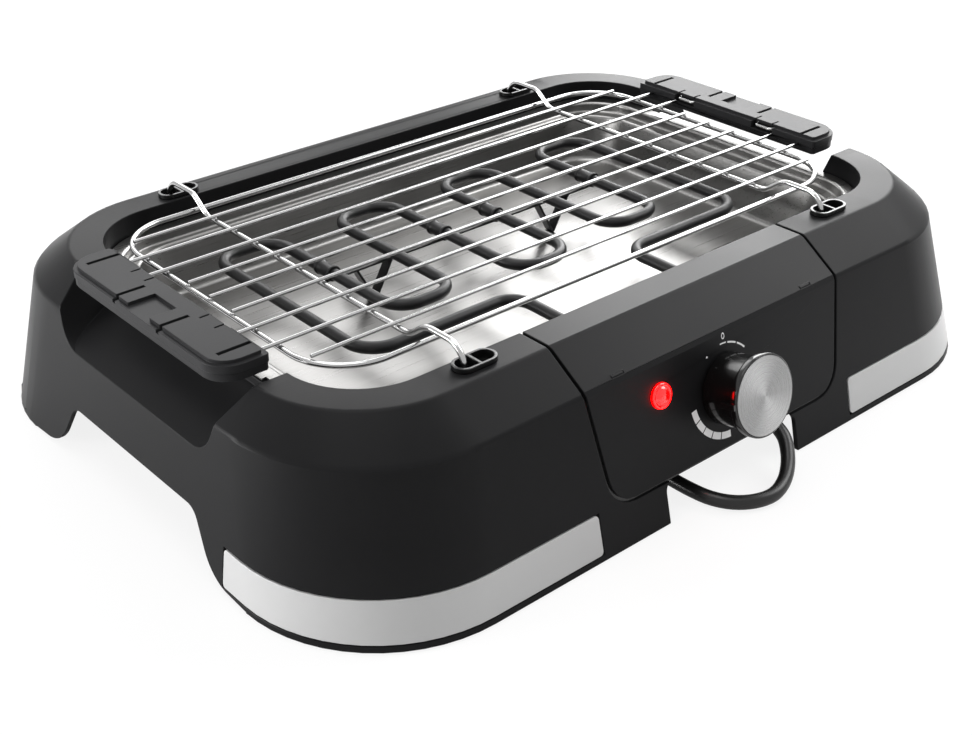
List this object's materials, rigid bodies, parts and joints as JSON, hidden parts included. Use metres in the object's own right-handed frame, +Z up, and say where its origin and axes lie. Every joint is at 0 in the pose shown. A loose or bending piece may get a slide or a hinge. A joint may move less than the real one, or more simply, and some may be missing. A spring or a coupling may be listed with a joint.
{
  "type": "electric indoor grill",
  "caption": "Open tabletop electric grill: black housing, steel drip tray, lift-out control unit with tubular heating element and dial, and a lift-off wire rack with side handles",
  "frame": {"origin": "on the table, under the middle of the whole grill without its mains lead", "axes": "+X along the length, +Y away from the control panel, +Z up; the knob faces -Y"},
  "size_m": [0.4868, 0.4922, 0.1091],
  "materials": {
    "cap_aluminium": "spun, fine radial brushing",
    "element_black": "matt black heat-proof skin",
    "foot_rubber": "matte",
    "handle_black": "satin",
    "housing_black": "satin",
    "knob_gloss": "glossy",
    "lamp_red": "glossy, lit",
    "lead_black": "smooth, slightly glossy",
    "light_insulator": "matte",
    "panel_black": "satin",
    "pin_metal": "nickel-plated look",
    "plain_steel": "plain",
    "rack_chrome": "bright plated",
    "socket_black": "satin",
    "tray_steel": "satin",
    "trim_grey": "satin"
  },
  "bodies": {
    "housing": {"housing": "housing_black", "trim_front_left": "trim_grey", "trim_front_right": "trim_grey", "trim_rear_left": "trim_grey", "trim_rear_right": "trim_grey", "rack_sockets": "socket_black", "rubber_feet": "foot_rubber", "foot_screws": "plain_steel", "cord": "lead_black", "cord_coil": "lead_black", "cord_tail": "lead_black", "plug": "lead_black", "plug_pins": "pin_metal"},
    "tray": {"drip_tray": "tray_steel"},
    "control_unit": {"control_panel": "panel_black", "control_box": "housing_black", "control_screws": "plain_steel", "thermostat": "light_insulator", "terminal_block": "light_insulator", "lamp_lens": "lamp_red", "lamp_holder": "light_insulator", "strain_relief": "lead_black", "heating_element": "element_black", "element_plate": "plain_steel", "element_sleeves": "element_black", "element_support": "element_black", "terminal_pins": "plain_steel"},
    "knob": {"knob": "knob_gloss", "knob_cap": "cap_aluminium", "knob_shaft": "plain_steel"},
    "rack": {"rack_frame": "rack_chrome", "rack_cross_wires": "rack_chrome", "rack_rods": "rack_chrome", "handle_loops": "rack_chrome", "handle_tops": "handle_black", "handle_bottoms": "handle_black", "handle_screws": "plain_steel"}
  },
  "joints": [
    {"name": "control_lift", "type": "slide", "parent": "housing", "child": "control_unit", "axis": [0, 0, 1], "range_m": [0, 0.1]},
    {"name": "tray_lift", "type": "slide", "parent": "housing", "child": "tray", "axis": [0, 0, 1], "range_m": [0, 0.06]},
    {"name": "rack_lift", "type": "slide", "parent": "control_unit", "child": "rack", "axis": [0, 0, 1], "range_m": [0, 0.08]},
    {"name": "knob_turn", "type": "hinge", "parent": "control_unit", "child": "knob", "pos_m": [0, -0.16256, 0.0533], "axis": [0, -0.9701, 0.2425], "range_deg": [0, 300]}
  ],
  "couplings": [
    {"joint": "tray_lift", "follows": "control_lift", "ratio": 0.6}
  ]
}
